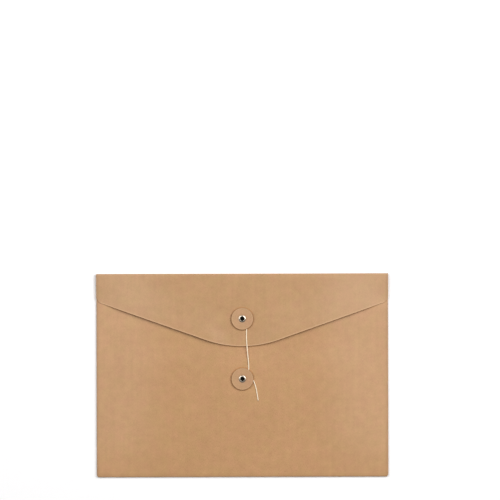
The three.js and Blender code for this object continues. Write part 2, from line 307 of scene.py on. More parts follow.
# ------------------------------------------------------------------- materials
class Tree:
    def __init__(self, name):
        self.mat = bpy.data.materials.new(name)
        self.mat.use_nodes = True
        self.t = self.mat.node_tree
        self.t.nodes.clear()
        self.out = self.t.nodes.new("ShaderNodeOutputMaterial")
        self.bsdf = self.t.nodes.new("ShaderNodeBsdfPrincipled")
        self.t.links.new(self.bsdf.outputs[0], self.out.inputs["Surface"])

    def node(self, kind, **props):
        n = self.t.nodes.new(kind)
        for k, v in props.items():
            setattr(n, k, v)
        return n

    def set(self, socket, value):
        if isinstance(value, bpy.types.NodeSocket):
            self.t.links.new(value, socket)
        elif value is not None:
            socket.default_value = value

    def shader(self, name, value):
        self.set(self.bsdf.inputs[name], value)

    def math(self, op, a, b=None, c=None, clamp=False):
        n = self.node("ShaderNodeMath", operation=op, use_clamp=clamp)
        for s, v in zip(n.inputs, (a, b, c)):
            self.set(s, v)
        return n.outputs[0]

    def vector(self, op, a, b=None):
        n = self.node("ShaderNodeVectorMath", operation=op)
        self.set(n.inputs[0], a)
        self.set(n.inputs[1], b)
        return n.outputs[0]

    def uv(self, name):
        return self.node("ShaderNodeUVMap", uv_map=name).outputs[0]

    def obj(self):
        return self.node("ShaderNodeTexCoord").outputs["Object"]

    def attribute(self, name):
        return self.node("ShaderNodeAttribute", attribute_name=name, attribute_type="GEOMETRY").outputs["Fac"]

    def noise(self, vec, scale=1.0, detail=2.0, rough=0.5, distortion=0.0):
        n = self.node("ShaderNodeTexNoise")
        self.set(n.inputs["Vector"], vec)
        n.inputs["Scale"].default_value = scale
        n.inputs["Detail"].default_value = detail
        n.inputs["Roughness"].default_value = rough
        n.inputs["Distortion"].default_value = distortion
        return n.outputs[0]

    def voronoi(self, vec, scale=1.0, randomness=1.0):
        n = self.node("ShaderNodeTexVoronoi")
        self.set(n.inputs["Vector"], vec)
        n.inputs["Scale"].default_value = scale
        n.inputs["Randomness"].default_value = randomness
        return n.outputs["Distance"], n.outputs["Color"]

    def turn(self, vec, angle, scale):
        n = self.node("ShaderNodeMapping")
        self.set(n.inputs["Vector"], vec)
        n.inputs["Rotation"].default_value = (0, 0, math.radians(angle))
        n.inputs["Scale"].default_value = scale
        return n.outputs[0]

    def ramp(self, value, lo, hi, to_lo=0.0, to_hi=1.0, smooth=False):
        n = self.node("ShaderNodeMapRange", clamp=True, interpolation_type="SMOOTHSTEP" if smooth else "LINEAR")
        self.set(n.inputs["Value"], value)
        for k, v in (("From Min", lo), ("From Max", hi), ("To Min", to_lo), ("To Max", to_hi)):
            self.set(n.inputs[k], v)
        return n.outputs[0]

    def mix(self, fac, a, b, blend="MIX"):
        n = self.node("ShaderNodeMix", data_type="RGBA", blend_type=blend, clamp_factor=True)
        self.set(n.inputs[0], fac)
        self.set(n.inputs[6], a if isinstance(a, bpy.types.NodeSocket) else (*a, 1.0))
        self.set(n.inputs[7], b if isinstance(b, bpy.types.NodeSocket) else (*b, 1.0))
        return n.outputs[2]

    def bump(self, height, distance, strength=1.0, normal=None):
        n = self.node("ShaderNodeBump")
        n.inputs["Strength"].default_value = strength
        n.inputs["Distance"].default_value = distance
        self.set(n.inputs["Height"], height)
        if normal is not None:
            self.set(n.inputs["Normal"], normal)
        return n.outputs[0]


KRAFT = np.array((0.4768, 0.2671, 0.1259))


def tone(k, warm=0.0):
    """The card's own brown, k times as bright, a little redder or greyer."""
    c = KRAFT * k * np.array((1.0 + 0.3 * warm, 1.0, 1.0 - 0.8 * warm))
    return tuple(float(x) for x in c)


def kraft(name, brightness=1.0, seed=0.0, rough=0.60, inner=False, marks=(), knife=0.80, rim=0.0, painted_shadow_lines=False):
    """Unbleached kraft card: cloudy formation, grain along the sheet, fibres lying every way, shives, paler at the cut
    edges where the knife has opened the surface, partly as a painted highlight along them.
    marks: painted shade round a metal part, as (x, y, radius, softness, depth) on the blank. knife: how pale the cut
    edge is, partly a painted highlight. rim: how dark the painted shade on its last half millimetre is."""
    t = Tree(name)
    flat = t.vector("MULTIPLY", t.uv("Blank"), (1000.0, 1000.0, 1000.0))
    mm = t.vector("ADD", flat, (137.0 * seed + 400.0, 71.0 * seed + 400.0, 13.0 * seed))
    cloud = t.noise(mm, 0.105, 4.0, 0.62)
    drift = t.noise(mm, 0.021, 2.0, 0.5)
    streak = t.noise(t.turn(mm, 0.6, (0.30, 0.012, 1.0)), 1.0, 2.0, 0.5)
    fine = t.noise(t.turn(mm, 1.2, (2.3, 0.50, 1.0)), 1.0, 4.0, 0.6)
    across = t.noise(t.turn(mm, 38.0, (0.55, 2.6, 1.0)), 1.0, 3.0, 0.55)
    back = t.noise(t.turn(mm, -31.0, (0.50, 2.9, 1.0)), 1.0, 3.0, 0.55)
    total = 0.5
    for n, k in ((cloud, 0.74), (drift, 0.32), (streak, 0.26), (fine, 0.98), (across, 0.78), (back, 0.66)):
        total = t.math("MULTIPLY_ADD", t.math("SUBTRACT", n, 0.5), k, total)
    b = brightness
    colour = t.mix(total, tone(0.80 * b, 0.06), tone(1.20 * b, -0.04))
    # the pulp isn't all one hue: rosier and yellower clouds
    hue = t.ramp(t.noise(t.vector("ADD", mm, (33.0, 81.0, 7.0)), 0.085, 3.0, 0.6), 0.34, 0.66)
    colour = t.mix(1.0, colour, t.mix(hue, (1.013, 0.978, 1.024), (0.987, 1.020, 0.974)), "MULTIPLY")
    # long fibres: thin contour lines of a stirred noise, broken up
    curl = t.noise(mm, 0.62, 1.5, 0.5, 1.3)
    hair = t.ramp(t.math("ABSOLUTE", t.math("SUBTRACT", curl, 0.5)), 0.0, 0.011, 1.0, 0.0)
    gate = t.ramp(t.noise(mm, 0.37, 1.0, 0.5), 0.50, 0.58)
    hair = t.math("MULTIPLY", hair, gate)
    colour = t.mix(t.math("MULTIPLY", hair, 0.30), colour, tone(1.42 * b, -0.08))
    curl2 = t.noise(t.vector("ADD", mm, (51.0, 17.0, 5.0)), 0.48, 1.5, 0.5, 1.6)
    hair2 = t.ramp(t.math("ABSOLUTE", t.math("SUBTRACT", curl2, 0.47)), 0.0, 0.009, 1.0, 0.0)
    gate2 = t.ramp(t.noise(t.vector("ADD", mm, (9.0, 4.0, 2.0)), 0.31, 1.0, 0.5), 0.52, 0.58)
    hair2 = t.math("MULTIPLY", hair2, gate2)
    colour = t.mix(t.math("MULTIPLY", hair2, 0.34), colour, tone(0.60 * b, 0.10))
    # shives: a few small dark specks, drawn out along the grain
    dist, cell = t.voronoi(t.turn(mm, 8.0, (0.30, 0.20, 1.0)), 1.0)
    pick = t.node("ShaderNodeSeparateColor")
    t.set(pick.inputs[0], cell)
    size = t.ramp(pick.outputs[0], 0.55, 1.0, 0.0, 0.085)
    speck = t.ramp(dist, t.math("MULTIPLY", size, 0.5), size, 1.0, 0.0)
    speck = t.math("MULTIPLY", speck, t.ramp(pick.outputs[1], 0.0, 1.0, 0.15, 0.75))
    colour = t.mix(speck, colour, tone(0.42 * b, 0.15))
    # cut edges: the knife opens the fibres, so the last millimetre is paler; partly this is a painted highlight along
    # the edge
    edge = t.attribute("edge")
    ragged = t.math("MULTIPLY_ADD", t.math("SUBTRACT", t.noise(mm, 0.9, 2.0, 0.6), 0.5), 1.0, edge)
    pale = t.ramp(ragged, 0.45, 1.55, 1.0, 0.0, smooth=True)
    sep = t.node("ShaderNodeSeparateXYZ")
    t.set(sep.inputs[0], flat)
    far = t.math("ABSOLUTE", sep.outputs[0])
    inset = t.ramp(far, 159.0, 162.5, 1.0, 0.12) if not inner else 1.0
    colour = t.mix(t.math("MULTIPLY", t.math("MULTIPLY", pale, inset), knife), colour, tone(1.42 * b, -0.22))
    if not inner:
        # painted shade: the flap's face is darkened a little, as if it caught less light than the pocket's front
        colour = t.mix(t.ramp(sep.outputs[1], 108.0, 118.0), colour, t.mix(1.0, colour, (0.936, 0.952, 0.948), "MULTIPLY"))
        # painted shade: darker over the last few millimetres at each side, where the edge falls into shade
        side_shade = t.math("MULTIPLY", t.ramp(far, 160.6, 164.2, smooth=True), t.ramp(t.noise(mm, 0.05, 2.0, 0.5), 0.35, 0.60, 0.16, 0.30))
        colour = t.mix(side_shade, colour, tone(0.42 * b, -0.10))
        # and painted shade along the bottom crease
        off = t.math("ABSOLUTE", t.math("SUBTRACT", sep.outputs[1], BOTTOM_Y - 2.6))
        base = t.math("MULTIPLY", t.ramp(off, 1.2, 5.2, 1.0, 0.0, smooth=True), t.ramp(t.noise(mm, 0.06, 2.0, 0.5), 0.35, 0.60, 0.10, 0.22))
        colour = t.mix(base, colour, tone(0.55 * b, 0.06))
    # painted shade: the card greyed round a metal part, where the metal's shade falls
    for x, y, radius, soft, depth in marks:
        off = t.vector("SUBTRACT", flat, (x, y, 0.0))
        length = t.node("ShaderNodeVectorMath", operation="LENGTH")
        t.set(length.inputs[0], off)
        uneven = t.math("MULTIPLY_ADD", t.math("SUBTRACT", t.noise(mm, 0.8, 2.0, 0.6), 0.5), 1.2 * soft, length.outputs["Value"])
        painted_metal_shade = t.ramp(uneven, radius, radius + soft, depth, 0.0, smooth=True)
        colour = t.mix(painted_metal_shade, colour, (0.016, 0.013, 0.011))
    if painted_shadow_lines:
        # painted shadow: a thin browner line on the panel where the flap's free edge casts its shade
        x_tip = TIP_R * math.sin(math.radians(FLAP_SLOPE))
        straight = t.math("MULTIPLY_ADD", far, FLAP_TAN, FLAP_APEX)
        rest = t.math("SUBTRACT", TIP_R * TIP_R, t.math("MULTIPLY", far, far))
        bow = t.math("SUBTRACT", HEIGHT / 2 - FLAP_DEPTH + TIP_R, t.math("SQRT", t.math("MAXIMUM", rest, 0.0)))
        at_tip = t.math("LESS_THAN", far, x_tip)
        edge_y = t.math("ADD", straight, t.math("MULTIPLY", at_tip, t.math("SUBTRACT", bow, straight)))
        panel_y = t.math("SUBTRACT", 2 * BOTTOM_Y - math.pi * (BOTTOM_OUTER - CARD / 2), sep.outputs[1])
        off = t.math("SUBTRACT", edge_y, panel_y)
        flap_edge_shadow = t.math("MULTIPLY", t.ramp(off, -1.3, -0.2, 0.0, 1.0, smooth=True), t.ramp(off, 1.1, 2.0, 1.0, 0.0, smooth=True))
        flap_edge_shadow = t.math("MULTIPLY", flap_edge_shadow, t.ramp(far, 146.0, 156.0, 1.0, 0.0, smooth=True))
        flap_edge_shadow = t.math("MULTIPLY", flap_edge_shadow, t.ramp(t.noise(mm, 0.09, 2.0, 0.5), 0.35, 0.65, 0.75, 1.0))
        colour = t.mix(flap_edge_shadow, colour, t.mix(1.0, colour, (0.92, 0.81, 0.64), "MULTIPLY"))
        # and a fainter painted shadow ring round each disc, where its shade falls on the card
        lower_v = 2 * BOTTOM_Y - math.pi * (BOTTOM_OUTER - CARD / 2) - LOWER_Y
        upper_v = 2 * (HEIGHT / 2 - TOP_OUTER) + math.pi * (TOP_OUTER - CARD / 2) - UPPER_Y
        for v in (lower_v, upper_v):
            reach = t.node("ShaderNodeVectorMath", operation="LENGTH")
            t.set(reach.inputs[0], t.vector("SUBTRACT", flat, (0.0, v, 0.0)))
            reach = reach.outputs["Value"]
            ring = t.math("MULTIPLY", t.ramp(reach, 11.8, 12.6, smooth=True), t.ramp(reach, 13.3, 14.0, 1.0, 0.0, smooth=True))
            colour = t.mix(ring, colour, t.mix(1.0, colour, (0.97, 0.86, 0.74), "MULTIPLY"))
    if rim:
        # painted shade: the very rim darkened, standing in for the shade round the disc's edge
        rim_shade = t.math("MULTIPLY_ADD", t.math("SUBTRACT", t.noise(mm, 0.7, 2.0, 0.5), 0.5), 0.16, edge)
        colour = t.mix(t.ramp(rim_shade, 0.34, 0.66, rim, 0.0, smooth=True), colour, tone(0.36 * b, 0.85))
    t.shader("Base Color", colour)
    # handling has scuffed the calendered face towards the sides of the wallet
    side = t.ramp(far, 70.0, 150.0, smooth=True)
    side = t.math("MULTIPLY", side, t.ramp(sep.outputs[1], -175.0, -120.0, 1.0, 0.30, smooth=True))
    flap = t.ramp(sep.outputs[1], 108.0, 116.0, 0.0, 1.0)
    side = t.math("MAXIMUM", side, t.math("MULTIPLY", flap, t.ramp(far, 70.0, 150.0, 0.10, 1.0, smooth=True)))
    scuff = side
    rough_v = t.math("MULTIPLY_ADD", t.math("SUBTRACT", fine, 0.5), 0.22, rough + (0.12 if inner else 0.0))
    rough_v = t.math("MULTIPLY_ADD", scuff, 0.0 if inner else 0.24, rough_v)
    rough_v = t.math("MULTIPLY_ADD", pale, 0.10, rough_v, clamp=True)
    t.shader("Roughness", rough_v)
    t.bsdf.inputs["Specular IOR Level"].default_value = 0.5 if inner else 0.78
    height = t.math("MULTIPLY_ADD", hair, 0.35, t.math("MULTIPLY_ADD", fine, 0.8, t.math("MULTIPLY_ADD", across, 0.5, t.math("MULTIPLY", back, 0.5))))
    t.shader("Normal", t.bump(height, 0.00005, 0.5))
    return t.mat


def kraft_edge(name):
    """The sawn look of card cut through: packed plies, paler and rougher than the face."""
    t = Tree(name)
    mm = t.vector("MULTIPLY", t.uv("Blank"), (1000.0, 1000.0, 1000.0))
    ply = t.attribute("ply")
    comb = t.node("ShaderNodeCombineXYZ")
    sep = t.node("ShaderNodeSeparateXYZ")
    t.set(sep.inputs[0], mm)
    t.set(comb.inputs[0], t.math("MULTIPLY", sep.outputs[0], 1.6))
    t.set(comb.inputs[1], t.math("MULTIPLY", sep.outputs[1], 1.6))
    t.set(comb.inputs[2], t.math("MULTIPLY", ply, 3.2))
    layers = t.noise(comb.outputs[0], 1.0, 4.0, 0.65)
    fluff = t.noise(mm, 4.0, 2.0, 0.5)
    total = t.math("MULTIPLY_ADD", t.math("SUBTRACT", layers, 0.5), 1.3, 0.5)
    total = t.math("MULTIPLY_ADD", t.math("SUBTRACT", fluff, 0.5), 0.5, total)
    t.shader("Base Color", t.mix(total, tone(0.92, 0.02), tone(1.62, -0.12)))
    t.shader("Roughness", t.math("MULTIPLY_ADD", fluff, 0.12, 0.80, clamp=True))
    t.bsdf.inputs["Specular IOR Level"].default_value = 0.3
    t.shader("Normal", t.bump(layers, 0.00006, 0.7))
    return t.mat


# the line where the flap's sloping sides would meet, and the radius of its tip
FLAP_TAN = math.tan(math.radians(FLAP_SLOPE))
FLAP_APEX = HEIGHT / 2 - FLAP_SIDE - WIDTH / 2 * FLAP_TAN
TIP_R = (HEIGHT / 2 - FLAP_DEPTH - FLAP_APEX) / (1 / math.cos(math.radians(FLAP_SLOPE)) - 1)
face_mat = kraft("kraft_card_outer_face", 1.0, 0.0, 0.30, painted_shadow_lines=True)
inner_mat = kraft("kraft_card_inner_face", 0.97, 3.0, 0.50, inner=True)
edge_mat = kraft_edge("kraft_card_cut_edge")
button_mat = kraft("kraft_button_face", 0.930, 7.0, 0.46, marks=((0.0, 0.0, 4.2, 2.8, 0.12),), knife=0.45, rim=0.85)


def metal(name):
    """Nickel plate: bright, with drawn marks round the head, fine scratches, and painted shade that darkens the bore
    near black.
    """
    t = Tree(name)
    p = t.vector("MULTIPLY", t.obj(), (1000.0, 1000.0, 1000.0))
    lap = t.vector("MULTIPLY", t.uv("Lap"), (1000.0, 1000.0, 1000.0))
    rings = t.noise(t.turn(lap, 0.0, (0.15, 9.0, 1.0)), 1.0, 3.0, 0.6)
    cloud = t.noise(p, 0.9, 3.0, 0.6)
    scratch = t.noise(t.turn(p, 27.0, (0.6, 14.0, 1.0)), 1.0, 2.0, 0.5)
    bore = t.attribute("bore")
    total = t.math("MULTIPLY_ADD", t.math("SUBTRACT", cloud, 0.5), 0.9, 0.6)
    total = t.math("MULTIPLY_ADD", t.math("SUBTRACT", rings, 0.5), 0.35, total)
    bright = t.mix(total, (0.36, 0.315, 0.26), (0.56, 0.50, 0.42))
    # painted shade: the bore is darkened near black
    t.shader("Base Color", t.mix(bore, bright, (0.012, 0.011, 0.010)))
    t.bsdf.inputs["Metallic"].default_value = 1.0
    r = t.math("MULTIPLY_ADD", t.math("SUBTRACT", cloud, 0.5), 0.12, 0.27)
    r = t.math("MULTIPLY_ADD", t.math("SUBTRACT", scratch, 0.5), 0.12, r)
    t.shader("Roughness", t.math("MULTIPLY_ADD", bore, 0.50, r, clamp=True))
    t.shader("Normal", t.bump(t.math("ADD", rings, scratch), 0.000006, 0.5))
    return t.mat


def painted_shade_bore(name):
    """Inside of the eyelet: near-black painted shade, with a faint cloudiness."""
    t = Tree(name)
    p = t.vector("MULTIPLY", t.obj(), (1000.0, 1000.0, 1000.0))
    cloud = t.noise(p, 2.4, 3.0, 0.6)
    t.shader("Base Color", t.mix(cloud, (0.005, 0.0045, 0.004), (0.013, 0.012, 0.010)))
    t.shader("Roughness", t.ramp(cloud, 0.3, 0.7, 0.80, 0.95))
    t.bsdf.inputs["Specular IOR Level"].default_value = 0.05
    t.shader("Normal", t.bump(cloud, 0.00004, 0.5))
    return t.mat


def cotton(name):
    """Bleached-to-cream cotton: each strand is spun from fine fibres, with painted shade down in the lay, and odd
    flecks of husk.
    """
    t = Tree(name)
    mm = t.vector("MULTIPLY", t.uv("Lay"), (1000.0, 1000.0, 1000.0))
    fibre = t.noise(t.turn(mm, 24.0, (1.3, 9.0, 1.0)), 1.0, 3.0, 0.6)
    cloud = t.noise(mm, 0.35, 2.0, 0.5)
    lay_shade = t.attribute("valley")
    total = t.math("MULTIPLY_ADD", t.math("SUBTRACT", fibre, 0.5), 0.8, 0.98)
    total = t.math("MULTIPLY_ADD", t.math("SUBTRACT", cloud, 0.5), 0.4, total)
    # painted shade down in the lay between the strands
    total = t.math("MULTIPLY_ADD", lay_shade, -0.26, total, clamp=True)
    colour = t.mix(total, (0.66, 0.47, 0.30), (0.985, 0.855, 0.665))
    dist, cell = t.voronoi(t.turn(mm, 0.0, (0.25, 1.4, 1.0)), 1.0)
    colour = t.mix(t.ramp(dist, 0.05, 0.11, 0.35, 0.0), colour, (0.38, 0.25, 0.14))
    t.shader("Base Color", colour)
    t.shader("Roughness", t.ramp(fibre, 0.2, 0.8, 0.78, 0.95))
    t.bsdf.inputs["Specular IOR Level"].default_value = 0.3
    t.bsdf.inputs["Sheen Weight"].default_value = 0.25
    t.bsdf.inputs["Sheen Roughness"].default_value = 0.5
    t.shader("Normal", t.bump(fibre, 0.00008, 0.9))
    return t.mat


def dried_glue(name):
    t = Tree(name)
    mm = t.vector("MULTIPLY", t.obj(), (1000.0, 1000.0, 1000.0))
    cloud = t.noise(mm, 0.25, 3.0, 0.6)
    drag = t.noise(t.turn(mm, 0.0, (2.0, 0.05, 1.0)), 1.0, 2.0, 0.5)
    total = t.math("MULTIPLY_ADD", t.math("SUBTRACT", drag, 0.5), 1.2, cloud, clamp=True)
    t.shader("Base Color", t.mix(total, (0.62, 0.50, 0.33), (0.86, 0.79, 0.63)))
    t.shader("Roughness", t.ramp(cloud, 0.3, 0.7, 0.30, 0.55))
    t.shader("Normal", t.bump(drag, 0.00004, 0.6))
    return t.mat


metal_mat = metal("nickel_plate")
bore_shade_mat = painted_shade_bore("eyelet_bore_painted_shade")
cotton_mat = cotton("cotton_string")
glue_mat = dried_glue("dried_glue")


# ------------------------------------------------------------------ the string
# The route of its middle, as in the CAD model.
def string_route():
    high, low, loop = 4.9, 3.6, 3.6
    route = []
    for i in range(11):
        a = math.radians(-105 - 255 * i / 10)
        route.append((loop * math.cos(a), UPPER_Y + loop * math.sin(a), high))
    route += [
        (4.1, 60.6, high), (4.6, 56.6, high), (4.85, 52.2, high), (4.8, 47.4, high + 0.05), (4.8, 42.0, high + 0.18),
        (5.0, 37.4, high + 0.31), (5.2, 34.2, high + 0.36), (5.4, 31.6, high + 0.30), (5.65, 28.6, high + 0.08),
        (5.95, 25.6, low + 1.14), (6.25, 22.4, low + 0.90), (6.65, 18.4, low + 0.60), (7.0, 14.2, low + 0.30),
        (7.2, 10.0, low + 0.03), (7.1, 6.5, low), (6.1, 3.4, low), (4.3, 1.2, low), (2.2, -0.1, low),
    ]
    for i in range(8):
        a = math.radians(84 + 186 * i / 7)
        route.append((loop * math.cos(a), LOWER_Y + loop * math.sin(a), low))
    route += [
        (2.7, -7.35, low), (5.3, -6.4, low), (7.8, -5.1, low), (10.2, -4.4, low), (12.0, -5.3, low),
        (13.3, -7.8, low), (14.6, -11.5, low), (15.65, -15.6, low), (16.4, -19.9, low),
        (17.1, -24.0, low), (17.7, -27.9, low),
    ]
    return np.array(route)


def through(points, per=24):
    """A centripetal Catmull-Rom curve through points."""
    p = np.vstack([2 * points[0] - points[1], points, 2 * points[-1] - points[-2]])
    found = []
    for i in range(1, len(p) - 2):
        p0, p1, p2, p3 = p[i - 1 : i + 3]
        d0, d1, d2 = (((b - a) ** 2).sum() ** 0.25 for a, b in ((p0, p1), (p1, p2), (p2, p3)))
        m1 = ((p1 - p0) / d0 - (p2 - p0) / (d0 + d1) + (p2 - p1) / d1) * d1
        m2 = ((p2 - p1) / d1 - (p3 - p1) / (d1 + d2) + (p3 - p2) / d2) * d1
        for k in range(per):
            s = k / per
            found.append(
                p1 + m1 * s + (-3 * p1 + 3 * p2 - 2 * m1 - m2) * s * s + (2 * p1 - 2 * p2 + m1 + m2) * s**3
            )
    found.append(points[-1])
    return np.array(found)


def even(points, step):
    d = np.linalg.norm(np.diff(points, axis=0), axis=1)
    s = np.concatenate([[0], np.cumsum(d)])
    n = int(round(s[-1] / step))
    at = np.linspace(0, s[-1], n + 1)
    return np.stack([np.interp(at, s, points[:, k]) for k in range(3)], 1), s[-1]


def frames(path):
    """Tangent and two sides at each point, carried along without twist."""
    t = np.gradient(path, axis=0)
    t /= np.linalg.norm(t, axis=1)[:, None]
    a = np.zeros_like(t)
    side = np.cross(t[0], (0, 0, 1.0))
    a[0] = side / np.linalg.norm(side)
    for i in range(1, len(t)):
        v = a[i - 1] - t[i] * (a[i - 1] @ t[i])
        a[i] = v / np.linalg.norm(v)
    return t, a, np.cross(t, a)


def make_string():
    path, length = even(through(string_route()), 0.22)
    t, a, b = frames(path)
    radius, sides, pitch = STRING_D / 2, 24, 3.4
    verts, uv_at, valley, faces, uvs = [], [], [], [], []
    step = length / (len(path) - 1)
    rows = len(path)
    rng = np.random.default_rng(11)
    slow = np.convolve(rng.normal(0, 1, rows + 60), np.ones(30) / 30, "same")[30:-30]
    for i in range(rows):
        s = i * step
        twist = 2 * math.pi * s / pitch
        size = 1.0 + 0.030 * slow[i] / 0.18
        # the cut end is pinched together and slightly opened
        tail = max(0.0, 1.0 - (length - s) / 1.2)
        head = max(0.0, 1.0 - s / 0.8)
        for k in range(sides):
            phi = 2 * math.pi * k / sides
            lobe = abs(math.cos(1.5 * (phi - twist)))  # three strands
            depth = 1.0 - lobe
            r = radius * size * (1.0 - 0.24 * depth**1.6) * (1.0 - 0.20 * head**2) * (1.0 - 0.12 * tail**2)
            verts.append(path[i] + r * (math.cos(phi) * a[i] + math.sin(phi) * b[i]))
            valley.append(depth)
    for i in range(rows - 1):
        for k in range(sides):
            k1 = (k + 1) % sides
            faces.append((i * sides + k, i * sides + k1, (i + 1) * sides + k1, (i + 1) * sides + k))
            for ii, kk in ((i, k), (i, k + 1), (i + 1, k + 1), (i + 1, k)):
                uvs.append((ii * step * MM, kk / sides * math.pi * STRING_D * MM))
    # rounded caps
    for row, sign in ((0, -1.0), (rows - 1, 1.0)):
        ring = [row * sides + k for k in range(sides)]
        centre = path[row]
        for j, (shrink, push) in enumerate(((0.72, 0.16), (0.36, 0.25))):
            start = len(verts)
            for k in range(sides):
                verts.append(centre + (np.array(verts[row * sides + k]) - centre) * shrink + sign * t[row] * push)
                valley.append(0.35)
            new = [start + k for k in range(sides)]
            for k in range(sides):
                k1 = (k + 1) % sides
                q = (ring[k], ring[k1], new[k1], new[k])
                faces.append(q if sign > 0 else q[::-1])
                uvs += [(0.001 * (c % 7), 0.0002 * (c % 5)) for c in range(4)]
            ring = new
        tip = len(verts)
        verts.append(centre + sign * t[row] * 0.27)
        valley.append(0.4)
        for k in range(sides):
            k1 = (k + 1) % sides
            q = (ring[k], ring[k1], tip)
            faces.append(q if sign > 0 else q[::-1])
            uvs += [(0.001, 0.0), (0.0012, 0.0003), (0.0011, 0.0006)]
    # fibres that have come loose: short along the lay, longer at the cut end
    def fibre(points, r0):
        nonlocal verts, valley, faces, uvs
        points = np.array(points)
        ft, fa, fb = frames(points)
        start = len(verts)
        m, n = len(points), 4
        for i in range(m):
            r = r0 * (1.0 - 0.75 * i / (m - 1))
            for k in range(n):
                phi = 2 * math.pi * k / n
                verts.append(points[i] + r * (math.cos(phi) * fa[i] + math.sin(phi) * fb[i]))
                valley.append(0.0)
        for i in range(m - 1):
            for k in range(n):
                k1 = (k + 1) % n
                faces.append((start + i * n + k, start + i * n + k1, start + (i + 1) * n + k1, start + (i + 1) * n + k))
                uvs.extend([(0.002 * i, 0.0), (0.002 * i, 0.0003), (0.002 * i + 0.0005, 0.0003), (0.002 * i + 0.0005, 0.0)])
        faces.append(tuple(start + k for k in range(n))[::-1])
        uvs.extend([(0.0, 0.0)] * n)
        faces.append(tuple(start + (m - 1) * n + k for k in range(n)))
        uvs.extend([(0.001, 0.0)] * n)

    end, et, ea, eb = path[-1], t[-1], a[-1], b[-1]
    for j in range(26):
        phi = 2 * math.pi * (j + rng.uniform(-0.3, 0.3)) / 26
        r = radius * rng.uniform(0.15, 0.85)
        p = end + r * (math.cos(phi) * ea + math.sin(phi) * eb) + et * 0.05
        out = math.cos(phi) * ea + math.sin(phi) * eb
        reach, flare = rng.uniform(0.5, 1.35), rng.uniform(0.1, 0.55)
        pts = [p + et * reach * s + out * flare * s * s for s in np.linspace(0, 1, 5)]
        for q in pts:
            q[2] = max(q[2], FRONT_TOP + 0.06)
        fibre(pts, 0.035)
    for j in range(90):
        i = int(rng.integers(20, rows - 12))
        phi = rng.uniform(0, 2 * math.pi)
        out = math.cos(phi) * a[i] + math.sin(phi) * b[i]
        if out[2] < -0.35:
            continue
        along = t[i] * rng.choice((-1.0, 1.0)) + 0.5 * np.cross(t[i], out) * rng.uniform(-1, 1)
        reach = rng.uniform(0.35, 0.85)
        p = path[i] + out * radius * 0.86
        pts = [p + along * reach * s + out * (0.30 * reach * math.sin(s * 2.0)) for s in np.linspace(0, 1, 4)]
        fibre(pts, 0.014)
    ob = new_mesh("cotton_string", np.array(verts), faces, None, {"Lay": uvs}, {"valley": valley}, sharp=80.0)
    ob.data.materials.append(cotton_mat)
    return ob, path, length


string, string_path, string_length = make_string()
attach(string, "flap")
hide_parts("closing_string")
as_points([tuple(float(x) for x in p) for p in string_path[::3] * MM] + [tuple(float(x) for x in string_path[-1] * MM)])


# -------------------------------------------------------- how the card lies
def ripple(x, y):
    """A slow unevenness between about -1 and 1."""
    return 0.45 * (
        np.sin(x / 41.0 + 1.1) * np.cos(y / 33.0 + 0.4)
        + 0.7 * np.sin(x / 19.0 + y / 27.0 + 2.0)
        + 0.5 * np.cos(x / 13.0 - y / 17.0 + 0.9)
    )


def front_lie(x, y):
    """How far the front panel stands over its flat place."""
    ends = smooth01((y - BOTTOM_Y) / 14.0) * smooth01((FRONT_X - 2.0 - np.abs(x)) / 16.0)
    calm = 1.0 - np.exp(-((x / 26.0) ** 2 + ((y - LOWER_Y) / 26.0) ** 2))
    sag = -0.72 * np.cos(np.clip(x / 165.0, -1, 1) * math.pi / 2) ** 0.5 * smooth01((y - 6.0) / 34.0)
    return ends * calm * (0.11 * ripple(x, y) + sag)


def flap_lie(x, y):
    """How far the flap stands over its flat place: the string holds its tip down, and beside it the free edge stands up."""
    from_fold = smooth01((HINGE_Y - y) / 26.0)
    calm = 1.0 - np.exp(-((x / 24.0) ** 2 + ((y - UPPER_Y) / 24.0) ** 2))
    hug = -0.62 * smooth01((np.abs(x) - 132.0) / 30.0)
    edge = np.maximum(FLAP_APEX + np.abs(x) * FLAP_TAN, HEIGHT / 2 - FLAP_DEPTH)
    wing = smooth01((np.abs(x) - 8.0) / 34.0) * smooth01((163.0 - np.abs(x)) / 34.0)
    lift = np.where(x < 0, 1.85, 1.68) * wing * smooth01(1.0 - (y - edge) / 46.0)
    tip = 0.38 * smooth01(1.0 - (y - edge) / 18.0) * smooth01((150.0 - np.abs(x)) / 60.0)
    return from_fold * (calm * 0.09 * ripple(x + 90.0, y * 1.3 + 40.0) + hug) + lift + tip


# --------------------------------------------------------- the pocket's card
BOTTOM_MID = BOTTOM_OUTER - CARD / 2
SIDE_MID = SIDE_OUTER - CARD / 2
TOP_MID = TOP_OUTER - CARD / 2
BOTTOM_L, SIDE_L, TOP_L = math.pi * BOTTOM_MID, math.pi * SIDE_MID, math.pi * TOP_MID
FRONT_V = BOTTOM_Y - BOTTOM_L  # where the front panel starts on the blank
MOUTH_V = FRONT_V - (MOUTH_Y - BOTTOM_Y)


